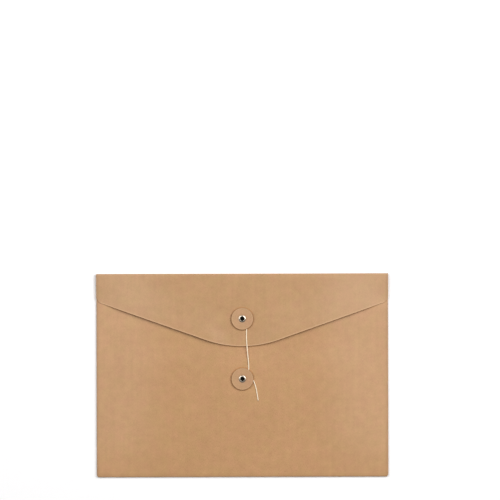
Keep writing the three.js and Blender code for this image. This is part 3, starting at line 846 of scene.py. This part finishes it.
def pocket_place(u, v, w):
    u, v = np.asarray(u, float), np.asarray(v, float)
    w = np.broadcast_to(w, u.shape)
    x, y, z = u.copy(), v.copy(), CARD / 2 - w
    s = BOTTOM_Y - v
    bend = (s > 0) & (s < BOTTOM_L)
    th = s / BOTTOM_MID
    r = BOTTOM_MID + w
    y = np.where(bend, BOTTOM_Y - r * np.sin(th), y)
    z = np.where(bend, BOTTOM_OUTER - r * np.cos(th), z)
    past = s >= BOTTOM_L
    y = np.where(past, BOTTOM_Y + (s - BOTTOM_L), y)
    z = np.where(past, FRONT_TOP - CARD / 2 + w, z)
    z = np.where(past, z + front_lie(x, y), z)
    side = (np.abs(u) > SIDE_X) & (v > BOTTOM_Y) & (v < TAB_HIGH + 0.15)
    t = np.abs(u) - SIDE_X
    th = t / SIDE_MID
    r = SIDE_MID + w
    sign = np.sign(u)
    curl = side & (t < SIDE_L)
    x = np.where(curl, sign * (SIDE_X + r * np.sin(th)), x)
    z = np.where(curl, SIDE_OUTER - r * np.cos(th), z)
    flat = side & (t >= SIDE_L)
    x = np.where(flat, sign * (SIDE_X - (t - SIDE_L)), x)
    z = np.where(flat, 2 * SIDE_OUTER - CARD / 2 + w, z)
    return np.stack([x, y, z], 1)


def pocket_groove(u, v):
    """The score line that is pressed along each side of a bend."""
    s = FRONT_V - v
    g = 0.050 * np.exp(-(((s - 0.75) / 0.42) ** 2)) * (s > -0.2)
    s = v - BOTTOM_Y
    g = g + 0.030 * np.exp(-(((s - 0.75) / 0.42) ** 2)) * (s > -0.2)
    return g


def make_pocket():
    step = 2.2
    pts = []
    tab_u = SIDE_X + SIDE_L
    tip_u = tab_u + TAB_WIDTH
    lows = [TAB_LOW + TAB_SLANT, TAB_HIGH - TAB_SLANT]
    rows_v = [TAB_LOW, TAB_LOW + 0.22, TAB_LOW + 0.5, TAB_LOW + 0.9, TAB_LOW + 1.4] + list(np.arange(-110.0, 91.0, 5.0)) + [
        TAB_HIGH - 1.4, TAB_HIGH - 0.9, TAB_HIGH - 0.5, TAB_HIGH - 0.22, TAB_HIGH]
    rows_s = [BOTTOM_Y - BOTTOM_L * k / 10 for k in range(11)]
    cols_u = [0.0] + [float(x) for x in np.arange(5.0, 161.0, 5.0)] + [162.4, 162.9, 163.3, 163.58, SIDE_X]
    cols_t = [SIDE_X + SIDE_L * k / 8 for k in range(9)]
    # right half of the outline, from the top fold down to the mouth
    right = line((WIDTH / 2, HINGE_Y), (WIDTH / 2, TAB_HIGH + 1.5), step)
    right += line((WIDTH / 2, TAB_HIGH + 1.5), (SIDE_X, TAB_HIGH + 0.3), 0.6)
    right += [(SIDE_X, TAB_HIGH + 0.3)]
    right += [(u, TAB_HIGH) for u in cols_t[:-1]]
    right += line((tab_u, TAB_HIGH), (tip_u, lows[1]), step)
    right += line((tip_u, lows[1]), (tip_u, lows[0]), step)
    right += line((tip_u, lows[0]), (tab_u, TAB_LOW), step)
    right += [(u, TAB_LOW) for u in cols_t[::-1]]
    right += [(SIDE_X, v) for v in rows_s[:-1]]
    right += [(SIDE_X, FRONT_V), (FRONT_X, FRONT_V)]
    right += line((FRONT_X, FRONT_V), (FRONT_X, MOUTH_V + MOUTH_CORNER), step)[1:]
    right += arc(FRONT_X - MOUTH_CORNER, MOUTH_V + MOUTH_CORNER, MOUTH_CORNER, 0, -math.pi / 2, 10)
    right += line((FRONT_X - MOUTH_CORNER, MOUTH_V), (0, MOUTH_V), step)
    left = [(-u, v) for u, v in right[::-1]]
    top = line((-WIDTH / 2, HINGE_Y), (WIDTH / 2, HINGE_Y), 5.0)[1:]
    loop = (right + [(0.0, MOUTH_V)] + left + top)[::-1]
    hole_v = FRONT_V - (LOWER_Y - BOTTOM_Y)
    hole = arc(0.0, hole_v, BUTTON_HOLE, 0, -2 * math.pi, 48)
    rails = []
    us = sorted({-u for u in cols_u} | set(cols_u))
    for v in rows_s:
        rails.append([(u, v) for u in us])
    for sign in (-1, 1):
        for u in cols_t:
            rails.append([(sign * u, v) for v in rows_v])
    lattice = []
    for u in np.arange(-160.0, 160.1, 5.0):
        for v in list(np.arange(-110.0, 110.1, 5.0)) + [BOTTOM_Y + d for d in (0.4, 0.8, 1.2, 1.8)] + [HINGE_Y - 1.2]:
            lattice.append((u, v))
        for v in [FRONT_V - d for d in (0.35, 0.75, 1.1, 1.6, 2.6)] + list(np.arange(FRONT_V - 5.0, MOUTH_V + 2.5, -5.0)):
            lattice.append((u, v))
    for sign in (-1, 1):
        for v in np.arange(-110.0, 91.0, 5.0):
            for d in (0.5, 1.2, 4.5, 8.0, 12.0):
                lattice.append((sign * (tab_u + d), v))
            for d in (0.5, 1.2):
                lattice.append((sign * (SIDE_X - d), v))
    ob = card(
        "pocket_card", [loop, hole], lattice, rails, pocket_place,
        lambda u, v: np.stack([u, v], 1),
        lambda u, v: np.asarray(v) > HINGE_Y - 1e-4,
        pocket_groove,
        keen=lambda u, v: smooth01((BOTTOM_Y - BOTTOM_L - np.asarray(v)) / 4.0),
    )
    for m in (face_mat, inner_mat, edge_mat):
        ob.data.materials.append(m)
    return ob


pocket = make_pocket()
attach(pocket, "pocket")
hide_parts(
    "back_panel", "front_panel", "bottom_fold", "left_side_fold", "right_side_fold", "left_glue_tab", "right_glue_tab"
)


# ------------------------------------------------------------- the top crease
def make_crease():
    rows = [TOP_L * k / 16 for k in range(17)]
    half = WIDTH / 2
    cols = [0.0] + [float(x) for x in np.arange(5.0, 161.0, 5.0)] + [half - 1.4, half - 0.9, half - 0.5, half - 0.22, half]
    us = sorted({-u for u in cols} | set(cols))
    loop = [(u, 0.0) for u in us] + [(half, s) for s in rows[1:-1]] + [(u, TOP_L) for u in us[::-1]] + [(-half, s) for s in rows[1:-1][::-1]]

    def place(u, s, w):
        th = np.asarray(s) / TOP_MID
        r = TOP_MID + w
        return np.stack([u, HINGE_Y + r * np.sin(th), HINGE_Z - r * np.cos(th)], 1)

    ob = card(
        "flap_crease", [loop], [], [[(u, s) for u in us] for s in rows], place,
        lambda u, s: np.stack([u, HINGE_Y + s], 1),
        lambda u, s: (np.asarray(s) < 1e-4) | (np.asarray(s) > TOP_L - 1e-4),
    )
    for m in (face_mat, inner_mat, edge_mat):
        ob.data.materials.append(m)
    return ob


crease = make_crease()
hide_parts("top_fold")
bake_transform(crease)


# ------------------------------------------------------------------- the flap
def make_flap():
    slope = math.radians(FLAP_SLOPE)
    hx = WIDTH / 2
    side_y = HEIGHT / 2 - FLAP_SIDE
    tip_y = HEIGHT / 2 - FLAP_DEPTH
    apex = side_y - hx * math.tan(slope)
    tip_r = (tip_y - apex) / (1 / math.cos(slope) - 1)
    turn = math.pi / 2 - slope
    sy = side_y + SHOULDER_R * math.tan(turn / 2)
    left_arc = arc(-hx + SHOULDER_R, sy, SHOULDER_R, math.pi, math.pi + turn, 14)
    left_end = (-hx + SHOULDER_R + SHOULDER_R * math.cos(math.pi + turn), sy + SHOULDER_R * math.sin(math.pi + turn))
    tip = arc(0, tip_y + tip_r, tip_r, -math.pi / 2 - slope, -math.pi / 2 + slope, 52)
    tip_end = (tip_r * math.sin(slope), tip_y + tip_r - tip_r * math.cos(slope))
    right_start = (hx - SHOULDER_R + SHOULDER_R * math.cos(-turn), sy + SHOULDER_R * math.sin(-turn))
    right_arc = arc(hx - SHOULDER_R, sy, SHOULDER_R, -turn, 0, 14)
    step = 1.8
    loop = line((-hx, HINGE_Y), (-hx, sy), step) + left_arc + line(left_end, tip[0], step) + tip
    loop += line(tip_end, right_start, step) + right_arc + line((hx, sy), (hx, HINGE_Y), step)
    half = WIDTH / 2
    cols = [0.0] + [float(x) for x in np.arange(5.0, 161.0, 5.0)] + [half - 1.4, half - 0.9, half - 0.5, half - 0.22, half]
    us = sorted({-u for u in cols} | set(cols))
    loop += [(u, HINGE_Y) for u in us[::-1]][:-1]
    hole = arc(0.0, UPPER_Y, BUTTON_HOLE, 0, -2 * math.pi, 48)
    rails = [[(u, HINGE_Y - d) for u in us if abs(u) < half - 1.0] for d in (0.35, 0.7, 1.05, 1.5, 2.4)]
    lattice = [(u, v) for u in np.arange(-160.0, 160.1, 4.0) for v in np.arange(35.0, 109.0, 4.0)]

    def place(x, y, w):
        return np.stack([x, y, FLAP_MID + w + flap_lie(x, y)], 1)

    def groove(x, y):
        s = HINGE_Y - np.asarray(y)
        return 0.055 * np.exp(-(((s - 0.75) / 0.40) ** 2))

    ob = card(
        "flap_card", [loop, hole], lattice, rails, place,
        lambda x, y: np.stack([x, HINGE_Y + TOP_L + (HINGE_Y - y)], 1),
        lambda x, y: np.asarray(y) > HINGE_Y - 1e-4,
        groove,
        keen=lambda x, y: 0.35 + 0.65 * smooth01((np.abs(x) - 20.0) / 60.0),
    )
    for m in (face_mat, inner_mat, edge_mat):
        ob.data.materials.append(m)
    return ob


flap = make_flap()
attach(flap, "flap")
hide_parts("flap_panel")


# ------------------------------------------------------------------ the discs
def lathe(name, profile, centre, sides, slot_of, attributes, uv_name="Lap", planar=False, wave=None, sharp=50.0, blind=False):
    """A closed ring from a closed profile of (radius, height) points, which runs up the bore, out over the top and back in underneath. blind: the profile's two ends are joined to the axis, each at its own height."""
    m = len(profile)
    profile = np.asarray(profile, float)
    arc_len = np.concatenate([[0], np.cumsum(np.linalg.norm(np.diff(np.vstack([profile, profile[:1]]), axis=0), axis=1))])
    verts, faces, slots, uvs = [], [], [], []
    for k in range(sides):
        a = 2 * math.pi * k / sides
        for j, (r, z) in enumerate(profile):
            dz = wave(r, a) if wave is not None else 0.0
            verts.append((centre[0] + r * math.cos(a), centre[1] + r * math.sin(a), centre[2] + z + dz))
    for k in range(sides):
        k1 = (k + 1) % sides
        for j in range(m - 1 if blind else m):
            j1 = (j + 1) % m
            faces.append((k * m + j, k * m + j1, k1 * m + j1, k1 * m + j))
            slots.append(slot_of(j, j1))
            for kk, jj in ((k, j), (k, j + 1), (k + 1, j + 1), (k + 1, j)):
                a = 2 * math.pi * kk / sides
                r, z = profile[jj % m]
                if planar:
                    lift = 0.3 if slots[-1] == 1 else 0.0
                    slide = 0.0 if slots[-1] == 0 else 3 * z
                    uvs.append(((r * math.cos(a) + slide) * MM + lift, (r * math.sin(a) + slide) * MM))
                else:
                    uvs.append((a * 3.0 * MM, arc_len[jj] * MM))
    points = {key: [f(*profile[j]) if callable(f) else f[j] for k in range(sides) for j in range(m)] for key, f in attributes.items()}
    if blind:
        for j, back in ((0, True), (m - 1, False)):
            z = profile[j][1]
            tip = len(verts)
            verts.append((centre[0], centre[1], centre[2] + z))
            for key, f in attributes.items():
                points[key].append(f(0.0, z))
            for k in range(sides):
                k1 = (k + 1) % sides
                faces.append((k * m + j, k1 * m + j, tip) if back else (k1 * m + j, k * m + j, tip))
                slots.append(slot_of(j, j))
                uvs += [(3.0 * MM * 2 * math.pi * k / sides, arc_len[j] * MM), (3.0 * MM * 2 * math.pi * (k + 1) / sides, arc_len[j] * MM), (0.0, 0.001)]
    return new_mesh(name, np.array(verts), faces, slots, {uv_name: uvs}, points, sharp)


def make_button(name, x, y, base, turn):
    t = BUTTON_T
    lo = STRING_GAP
    R, h = BUTTON_R, BUTTON_HOLE
    top = [
        (h + 0.05, t - 0.16), (h + 0.30, t - 0.15), (3.6, t - 0.14), (4.15, t - 0.12), (4.6, t - 0.045), (5.1, t - 0.01),
        (6.0, t), (7.5, t + 0.005), (9.0, t), (R - 2.5, t - 0.005), (R - 1.6, t), (R - 1.0, t + 0.02), (R - 0.5, t + 0.032),
        (R - 0.22, t), (R - 0.08, t - 0.05),
    ]
    side = R - 0.015
    rim = [(side, t - 0.13), (R, t * 0.72), (side, t * 0.56), (R - 0.045, t * 0.50), (side, t * 0.44), (R, t * 0.28), (side, 0.13)]
    bottom = [(R - 0.08, 0.05), (R - 0.4, 0.0), (R - 1.5, 0.0), (9.0, 0.0), (6.0, 0.0), (4.2, 0.01), (h + 0.30, 0.02), (h + 0.05, 0.06)]
    hole = [(h, 0.15), (h, t * 0.45)]
    profile = top + rim + bottom + hole
    n_top, n_rim, n_bottom = len(top), len(rim), len(bottom)

    def slot_of(j, j1):
        if j < n_top - 1:
            return 0
        if j < n_top + n_rim - 1:
            return 2
        if j < n_top + n_rim + n_bottom - 1:
            return 1
        return 2

    ply = [1.0] * n_top + [(z / t) * 2 - 1 for _, z in rim] + [-1.0] * n_bottom + [(z / t) * 2 - 1 for _, z in hole]

    def wave(r, a):
        return 0.045 * ((r - 4.5) / 8.5 if r > 4.5 else 0.0) ** 2 * math.sin(2 * a + turn) if r > 4.5 else 0.0

    ob = lathe(
        name, profile, (x, y, base + lo), 120, slot_of,
        {"edge": [min(abs(R - r), 20.0) for r, _ in profile], "ply": ply},
        uv_name="Blank", planar=True, wave=wave,
    )
    for m in (button_mat, button_mat, edge_mat):
        ob.data.materials.append(m)
    return ob


upper_button = make_button("upper_button_disc", 0.0, UPPER_Y, FLAP_TOP, 0.6)
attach(upper_button, "upper_disc")
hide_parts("upper_button")
lower_button = make_button("lower_button_disc", 0.0, LOWER_Y, FRONT_TOP, 2.1)
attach(lower_button, "lower_disc")
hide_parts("lower_button")


# ---------------------------------------------------------------- the eyelets
def make_eyelet(name, x, y, base):
    seat = STRING_GAP + BUTTON_T + CLEAR
    top = seat + FLANGE_T
    under = -CARD - CLEAR
    low = under - ROLL_T
    floor = low + 0.1 + END_T
    # the floor of the bore, which is drawn in one with the barrel, and the bore
    p = [(0.7, floor), (1.3, floor + 0.01), (1.7, floor + 0.03), (1.88, floor + 0.08), (2.0, floor + 0.17)]
    throat = top - 0.42
    for k in range(7):
        p.append((BORE_R, floor + 0.30 + (throat - 0.10 - floor - 0.30) * k / 6))
    # the throat opens into a rolled head: in to a crest, then sloping to its rim
    crest, shoulder = 2.72, FLANGE_R - 0.10
    for k in range(0, 13):
        a = math.pi - (math.pi / 2) * k / 12
        p.append((crest + (crest - BORE_R - 0.03) * math.cos(a), throat + 0.42 * math.sin(a)))
    for k in range(1, 13):
        f = k / 12
        p.append((crest + (shoulder - crest) * f, top - 0.240 * f**1.75))
    p.append((FLANGE_R - 0.045, seat + 0.108))
    p.append((FLANGE_R - 0.01, seat + 0.078))
    p.append((FLANGE_R, seat + 0.05))
    p.append((FLANGE_R - 0.03, seat + 0.015))
    p.append((FLANGE_R - 0.12, seat + 0.002))
    # underside of the head and the barrel
    p += [(3.4, seat), (BARREL_R + 0.12, seat), (BARREL_R + 0.02, seat - 0.05), (BARREL_R, seat - 0.2)]
    for k in range(1, 6):
        p.append((BARREL_R, seat - 0.2 + (under + 0.2 - seat + 0.2) * k / 5))
    p += [(BARREL_R + 0.02, under + 0.05), (BARREL_R + 0.12, under)]
    # the end, spread out against the card, with the closed barrel in its middle
    p += [(ROLL_R - 0.18, under), (ROLL_R - 0.06, under - 0.03)]
    mid, half = (BORE_R + ROLL_R) / 2, (ROLL_R - BORE_R) / 2
    for k in range(0, 13):
        a = -math.pi * k / 15
        p.append((mid + half * math.cos(a), low + 0.27 + 0.27 * math.sin(a)))
    p += [(2.02, low + 0.13), (1.85, low + 0.105), (1.3, low + 0.07), (0.7, low + 0.06)]
    n = len(p)

    # where the bore's painted shade lies: the metal darkened inside the throat, and the bore and its floor given the
    # near-black material
    def bore(r, z):
        return float(smooth01((2.50 - r) / 0.16)) if z > low + 0.3 else 0.0

    def slot_of(j, j1):
        return 1 if p[j][0] < 2.36 and p[j1 % n][0] < 2.36 and j < n / 2 else 0

    ob = lathe(name, p, (x, y, base), 112, slot_of, {"bore": bore}, sharp=60.0, blind=True)
    ob.data.materials.append(metal_mat)
    ob.data.materials.append(bore_shade_mat)
    return ob


upper_eyelet = make_eyelet("upper_eyelet_ring", 0.0, UPPER_Y, FLAP_TOP)
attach(upper_eyelet, "flap")
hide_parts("upper_eyelet")
lower_eyelet = make_eyelet("lower_eyelet_ring", 0.0, LOWER_Y, FRONT_TOP)
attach(lower_eyelet, "pocket")
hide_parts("lower_eyelet")


# ------------------------------------------------------------ the glue inside
for side in ("left_glue_line", "right_glue_line"):
    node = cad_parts[side]
    for s in node.material_slots:
        s.material = glue_mat


# ------------------------------------------------------------- floor and light
def make_floor():
    n = 2
    half = 4000.0
    me_verts = [(-half, -half, -0.06), (half, -half, -0.06), (half, half, -0.06), (-half, half, -0.06)]
    me = bpy.data.meshes.new("desk")
    me.from_pydata([tuple(c * MM for c in v) for v in me_verts], [], [(0, 1, 2, 3)])
    ob = bpy.data.objects.new("desk", me)
    scene.collection.objects.link(ob)
    t = Tree("white_desk")
    p = t.obj()
    speck = t.noise(p, 60.0, 2.0, 0.5)
    t.shader("Base Color", t.mix(speck, (0.924, 0.930, 0.952), (0.938, 0.944, 0.966)))
    t.bsdf.inputs["Roughness"].default_value = 0.9
    t.bsdf.inputs["Specular IOR Level"].default_value = 0.1
    me.materials.append(t.mat)
    return ob


make_floor()


def softbox(name, position, target, width, height, power, colour=(1.0, 1.0, 1.0)):
    data = bpy.data.lights.new(name, "AREA")
    data.shape = "ELLIPSE"
    data.size, data.size_y = width, height
    data.energy = power
    data.color = colour
    ob = bpy.data.objects.new(name, data)
    scene.collection.objects.link(ob)
    ob.location = position
    ob.rotation_euler = (Vector(target) - Vector(position)).to_track_quat("-Z", "Y").to_euler()
    ob.visible_camera = False
    return ob


softbox("right_softbox", (1.20, 0.80, 1.81), (0.0, 0.03, 0.0), 1.80, 1.80, 46.9)
softbox("left_softbox", (-1.20, 0.80, 1.81), (0.0, 0.03, 0.0), 1.80, 1.80, 27.8)

world = bpy.data.worlds.new("studio")
scene.world = world
world.use_nodes = True
wt = world.node_tree
wt.nodes.clear()
w_out = wt.nodes.new("ShaderNodeOutputWorld")
w_mix = wt.nodes.new("ShaderNodeMixShader")
w_light = wt.nodes.new("ShaderNodeBackground")
w_seen = wt.nodes.new("ShaderNodeBackground")
w_path = wt.nodes.new("ShaderNodeLightPath")
w_light.inputs["Color"].default_value = (1.0, 0.93, 0.82, 1.0)
w_light.inputs["Strength"].default_value = 0.197
w_seen.inputs["Color"].default_value = (0.93, 0.935, 0.94, 1.0)
w_seen.inputs["Strength"].default_value = 1.0
wt.links.new(w_path.outputs["Is Camera Ray"], w_mix.inputs[0])
wt.links.new(w_light.outputs[0], w_mix.inputs[1])
wt.links.new(w_seen.outputs[0], w_mix.inputs[2])
wt.links.new(w_mix.outputs[0], w_out.inputs["Surface"])

scene.view_settings.view_transform = "Standard"
scene.view_settings.look = "None"
scene.view_settings.exposure = 0.0
scene.view_settings.gamma = 1.0
